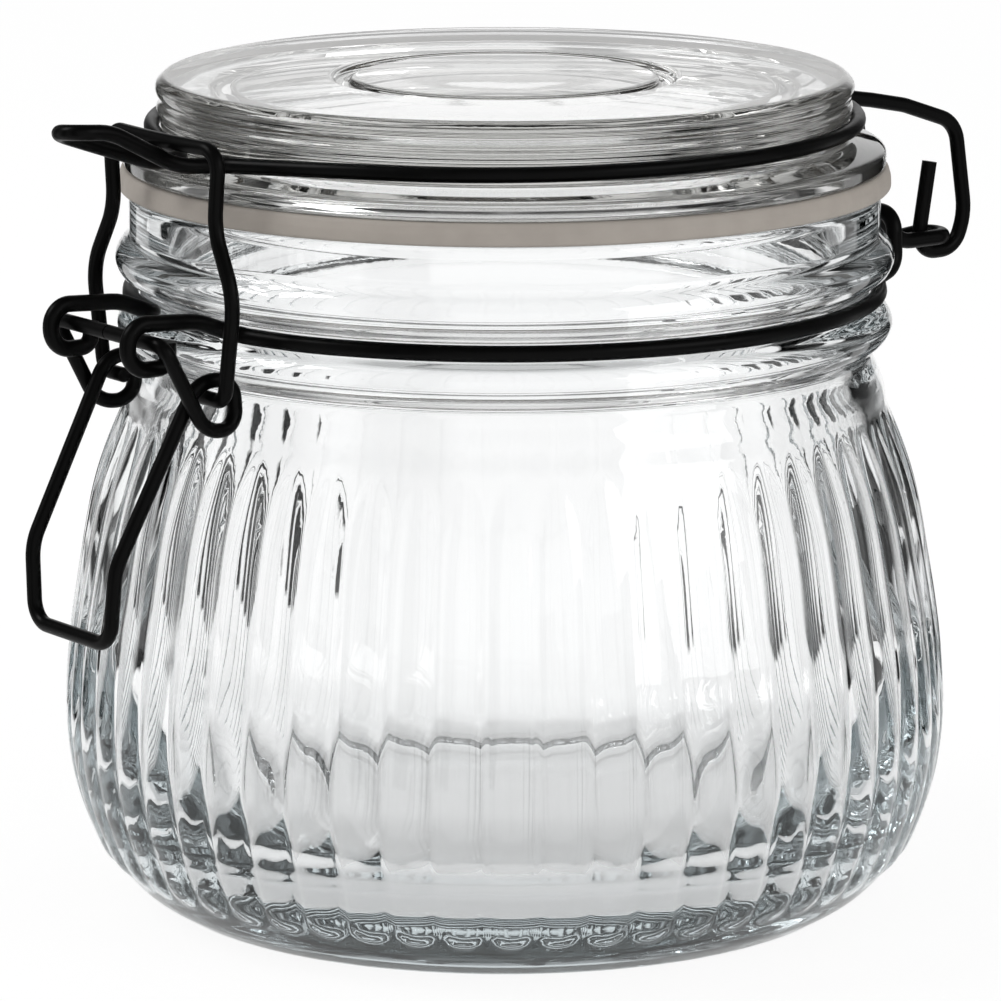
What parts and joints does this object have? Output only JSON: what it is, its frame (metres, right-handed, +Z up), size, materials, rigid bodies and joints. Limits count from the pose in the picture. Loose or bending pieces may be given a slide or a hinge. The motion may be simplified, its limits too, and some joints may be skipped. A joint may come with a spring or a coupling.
{
  "type": "lidded glass canister",
  "caption": "Fluted round glass jar with a disc-shaped glass lid, a rubber sealing ring and a wire clip-top latch and hinge.",
  "frame": {"origin": "centre of the jar's flat base, on the plane it stands on", "axes": "+Z up the jar's axis; +Y from the latch to the hinge; +X to the side, completing a right-handed frame"},
  "size_m": [0.1096, 0.1311, 0.1027],
  "materials": {
    "glass": "clear pressed soda-lime glass, faint green-grey tint",
    "gasket_rubber": "matte grey-beige moulded rubber",
    "black_wire": "satin black coated steel wire"
  },
  "bodies": {
    "jar_body": {"jar": "glass", "neck_wire": "black_wire"},
    "lid_body": {"lid": "glass", "gasket": "gasket_rubber", "lid_wire": "black_wire"},
    "lever_body": {"lever": "black_wire"},
    "link_body": {"link": "black_wire"}
  },
  "joints": [
    {"name": "lid_hinge", "type": "hinge", "parent": "jar_body", "child": "lid_body", "pos_m": [0, 0.0612, 0.0779], "axis": [-1, 0, 0], "range_deg": [0, 110]},
    {"name": "lever_pivot", "type": "hinge", "parent": "jar_body", "child": "lever_body", "pos_m": [0, -0.0579, 0.0764], "axis": [-1, 0, 0], "range_deg": [0, 150], "deforming": ["link"]},
    {"name": "link_pivot", "type": "hinge", "parent": "lever_body", "child": "link_body", "pos_m": [0, -0.0503, 0.0691], "axis": [-1, 0, 0], "range_deg": [-187.5, 0]}
  ],
  "couplings": [
    {"joint": "link_pivot", "follows": "lever_pivot", "ratio": -1.25}
  ]
}
